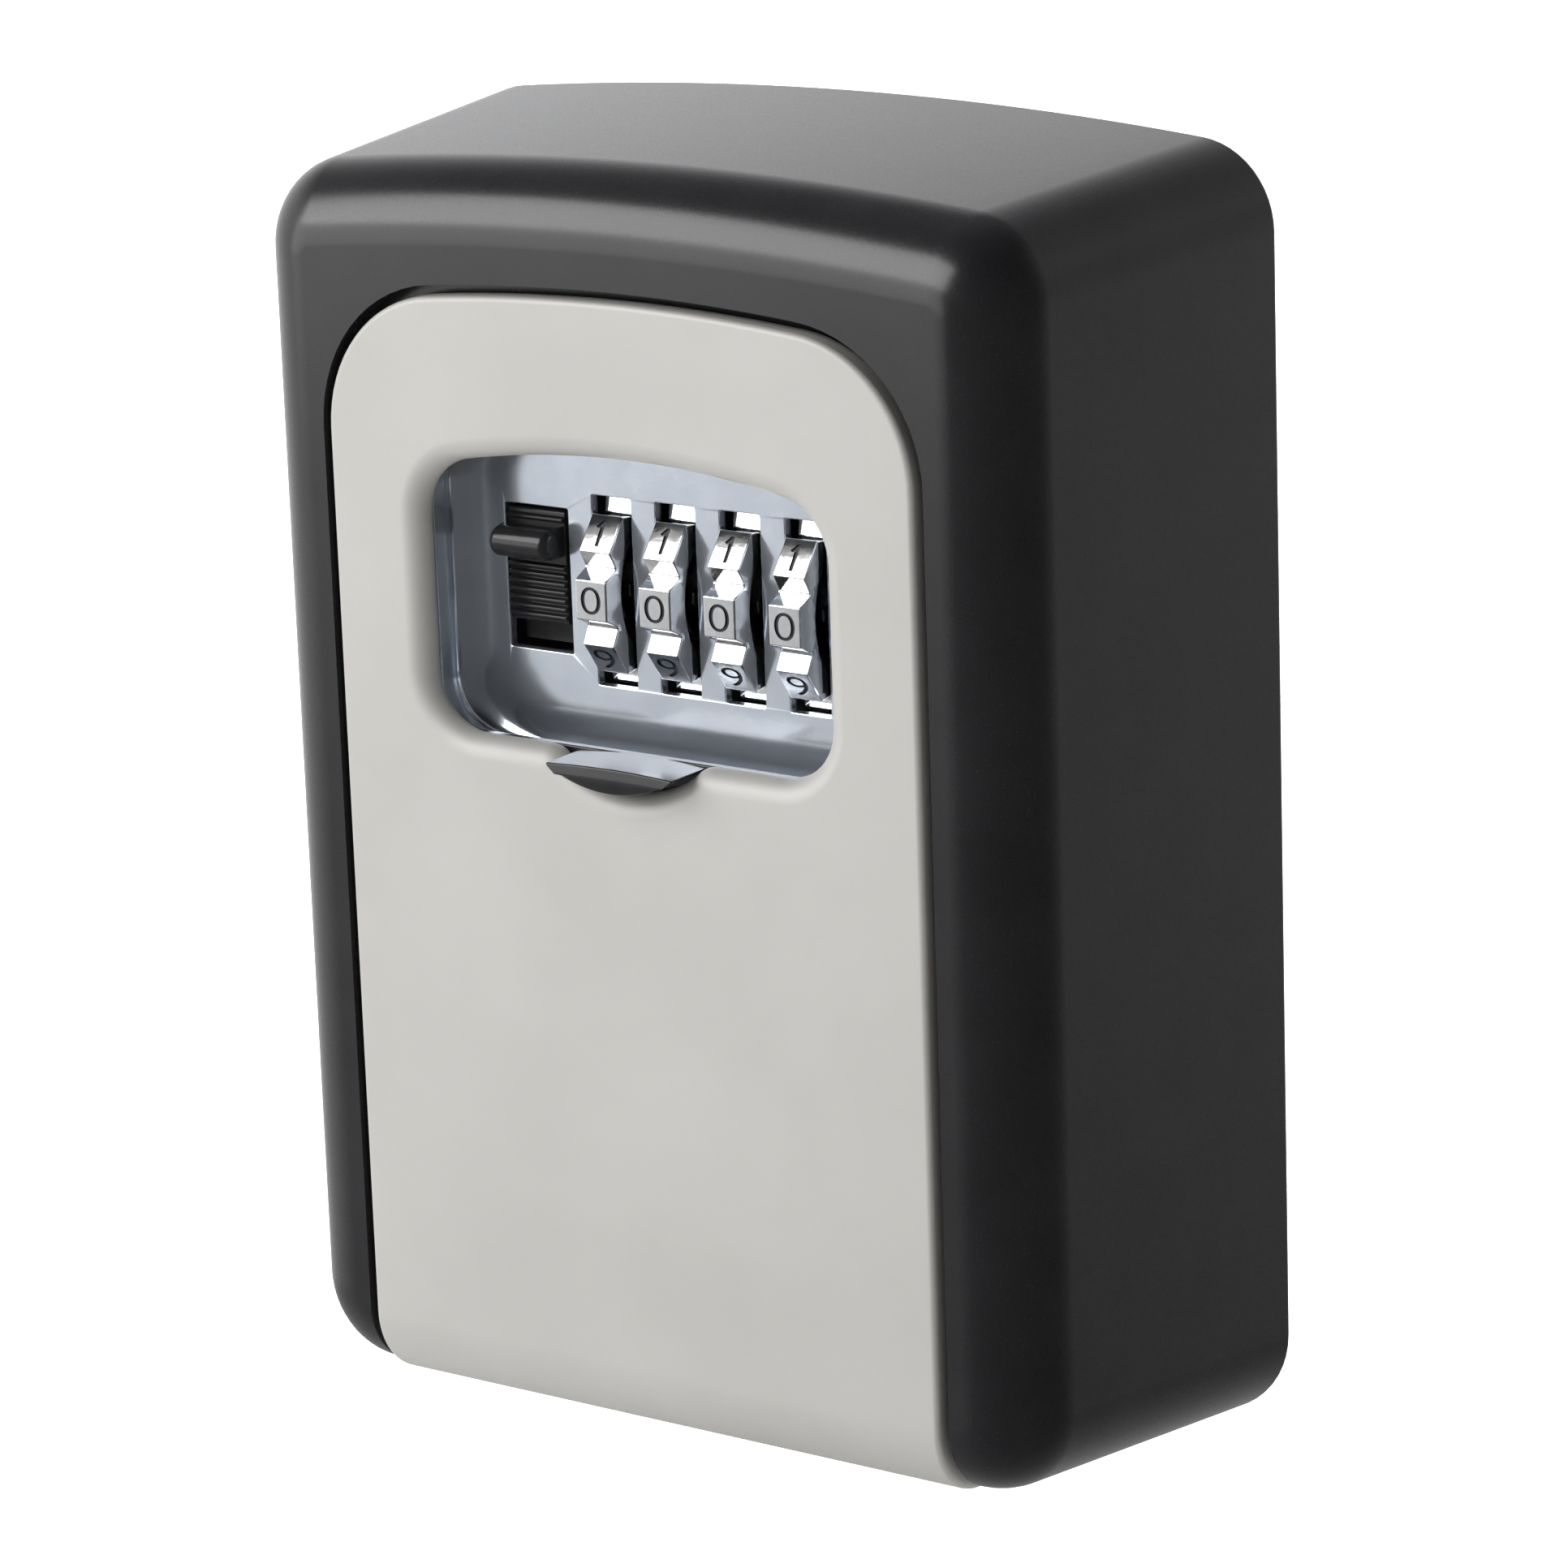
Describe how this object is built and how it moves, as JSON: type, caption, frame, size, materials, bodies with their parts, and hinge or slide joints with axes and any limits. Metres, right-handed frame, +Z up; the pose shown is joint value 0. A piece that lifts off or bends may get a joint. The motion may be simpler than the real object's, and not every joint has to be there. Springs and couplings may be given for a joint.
{
  "type": "key lock box",
  "caption": "Wall-mounted key lock box with a drop-down door, number dials in a recessed window, a latch slider and a sliding weather shutter.",
  "frame": {"origin": "centre of the flat back face, which lies against the wall", "axes": "+Z up, +Y into the wall, the door faces -Y, +X to the right seen from the front"},
  "size_m": [0.089, 0.0412, 0.12],
  "materials": {
    "housing_paint": "matte",
    "panel_paint": "satin",
    "tray_metal": "gloss",
    "dial_chrome": "polished",
    "case_zinc": "satin",
    "black_plastic": "satin",
    "steel": "satin",
    "hub_nickel": "satin",
    "black_steel": "satin"
  },
  "bodies": {
    "housing": {"housing_shell": "housing_paint", "hinge_pin_left": "steel", "hinge_pin_right": "steel"},
    "door": {"front_panel": "panel_paint", "dial_tray": "tray_metal", "shutter_retainer": "steel", "lock_case": "case_zinc", "case_cover": "case_zinc", "detent_spring": "steel", "case_screw_lower_left": "steel", "case_screw_lower_right": "steel", "case_screw_upper_left": "steel", "case_screw_upper_right": "steel", "cover_screw_lower_left": "steel", "cover_screw_lower_right": "steel", "cover_screw_upper_left": "steel", "cover_screw_upper_right": "steel", "retainer_screw_left": "steel", "retainer_screw_right": "steel"},
    "shutter": {"weather_shutter": "black_plastic"},
    "slider": {"slider_button": "black_plastic", "latch_plate": "black_steel", "latch_spring": "steel"},
    "reset": {"reset_lever": "black_plastic", "dial_shaft": "steel", "shaft_clip": "steel"},
    "dial_wheel_1": {"dial_1": "dial_chrome"},
    "dial_wheel_2": {"dial_2": "dial_chrome"},
    "dial_wheel_3": {"dial_3": "dial_chrome"},
    "dial_wheel_4": {"dial_4": "dial_chrome"},
    "hub_1": {"code_hub_1": "hub_nickel"},
    "hub_2": {"code_hub_2": "hub_nickel"},
    "hub_3": {"code_hub_3": "hub_nickel"},
    "hub_4": {"code_hub_4": "hub_nickel"}
  },
  "joints": [
    {"name": "door_hinge", "type": "hinge", "parent": "housing", "child": "door", "pos_m": [0, -0.031, -0.0508], "axis": [1, 0, 0], "range_deg": [0, 100]},
    {"name": "slider_press", "type": "slide", "parent": "door", "child": "slider", "axis": [0, 0, -1], "range_m": [0, 0.0022], "stiffness_N_per_m": 400, "springref_m": -0.004, "deforming": ["latch_spring"]},
    {"name": "shutter_lift", "type": "slide", "parent": "door", "child": "shutter", "axis": [0, 0, 1], "range_m": [0, 0.026]},
    {"name": "reset_shift", "type": "slide", "parent": "door", "child": "reset", "axis": [1, 0, 0], "range_m": [0, 0.0012]},
    {"name": "dial_1_turn", "type": "hinge", "parent": "door", "child": "dial_wheel_1", "pos_m": [-0.0063, -0.0241, 0.0189], "axis": [1, 0, 0], "continuous": true},
    {"name": "dial_2_turn", "type": "hinge", "parent": "door", "child": "dial_wheel_2", "pos_m": [0.0007, -0.0241, 0.0189], "axis": [1, 0, 0], "continuous": true},
    {"name": "dial_3_turn", "type": "hinge", "parent": "door", "child": "dial_wheel_3", "pos_m": [0.0077, -0.0241, 0.0189], "axis": [1, 0, 0], "continuous": true},
    {"name": "dial_4_turn", "type": "hinge", "parent": "door", "child": "dial_wheel_4", "pos_m": [0.0147, -0.0241, 0.0189], "axis": [1, 0, 0], "continuous": true},
    {"name": "hub_1_shift", "type": "slide", "parent": "dial_wheel_1", "child": "hub_1", "axis": [1, 0, 0], "range_m": [0, 0.0012]},
    {"name": "hub_2_shift", "type": "slide", "parent": "dial_wheel_2", "child": "hub_2", "axis": [1, 0, 0], "range_m": [0, 0.0012]},
    {"name": "hub_3_shift", "type": "slide", "parent": "dial_wheel_3", "child": "hub_3", "axis": [1, 0, 0], "range_m": [0, 0.0012]},
    {"name": "hub_4_shift", "type": "slide", "parent": "dial_wheel_4", "child": "hub_4", "axis": [1, 0, 0], "range_m": [0, 0.0012]}
  ],
  "couplings": [
    {"joint": "hub_1_shift", "follows": "reset_shift", "ratio": 1},
    {"joint": "hub_2_shift", "follows": "reset_shift", "ratio": 1},
    {"joint": "hub_3_shift", "follows": "reset_shift", "ratio": 1},
    {"joint": "hub_4_shift", "follows": "reset_shift", "ratio": 1}
  ]
}
